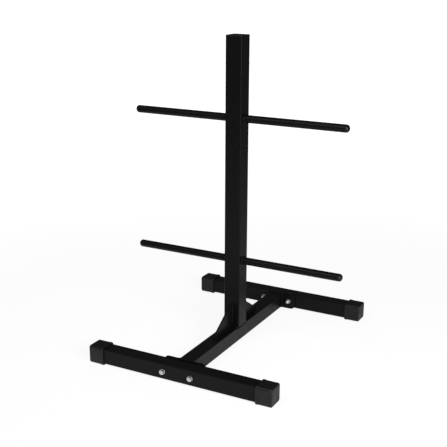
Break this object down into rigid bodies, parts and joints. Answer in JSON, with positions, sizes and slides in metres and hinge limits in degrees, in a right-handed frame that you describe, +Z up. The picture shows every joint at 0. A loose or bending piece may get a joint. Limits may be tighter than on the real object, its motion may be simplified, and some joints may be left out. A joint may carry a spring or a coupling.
{
  "type": "plate tree",
  "caption": "Free-standing steel rack for weight plates: a square upright with round rods through it, on a bolted base of cross feet with moulded end sleeves.",
  "frame": {"origin": "on the floor, under the middle of the upright", "axes": "+Z up along the upright, X along the rods and the feet, Y along the centre beam with the front foot at -Y"},
  "size_m": [0.668, 0.704, 0.9],
  "materials": {
    "black_powder_coat": "satin black powder coat",
    "black_plastic": "fine moulded texture",
    "zinc_plate": "bright zinc plate"
  },
  "bodies": {
    "root": {"upright": "black_powder_coat", "upright_top_plug": "black_plastic", "centre_beam": "black_powder_coat", "upper_rod": "black_powder_coat", "upper_rod_left_plug": "black_plastic", "upper_rod_right_plug": "black_plastic", "lower_rod": "black_powder_coat", "lower_rod_left_plug": "black_plastic", "lower_rod_right_plug": "black_plastic", "front_flange_plate": "black_powder_coat", "front_gusset": "black_powder_coat", "front_foot": "black_powder_coat", "front_foot_left_sleeve": "black_plastic", "front_foot_right_sleeve": "black_plastic", "front_left_bolt": "zinc_plate", "front_left_bolt_washer": "zinc_plate", "front_left_nut_washer": "zinc_plate", "front_left_nut": "zinc_plate", "front_right_bolt": "zinc_plate", "front_right_bolt_washer": "zinc_plate", "front_right_nut_washer": "zinc_plate", "front_right_nut": "zinc_plate", "rear_flange_plate": "black_powder_coat", "rear_gusset": "black_powder_coat", "rear_foot": "black_powder_coat", "rear_foot_left_sleeve": "black_plastic", "rear_foot_right_sleeve": "black_plastic", "rear_left_bolt": "zinc_plate", "rear_left_bolt_washer": "zinc_plate", "rear_left_nut_washer": "zinc_plate", "rear_left_nut": "zinc_plate", "rear_right_bolt": "zinc_plate", "rear_right_bolt_washer": "zinc_plate", "rear_right_nut_washer": "zinc_plate", "rear_right_nut": "zinc_plate"}
  },
  "joints": []
}
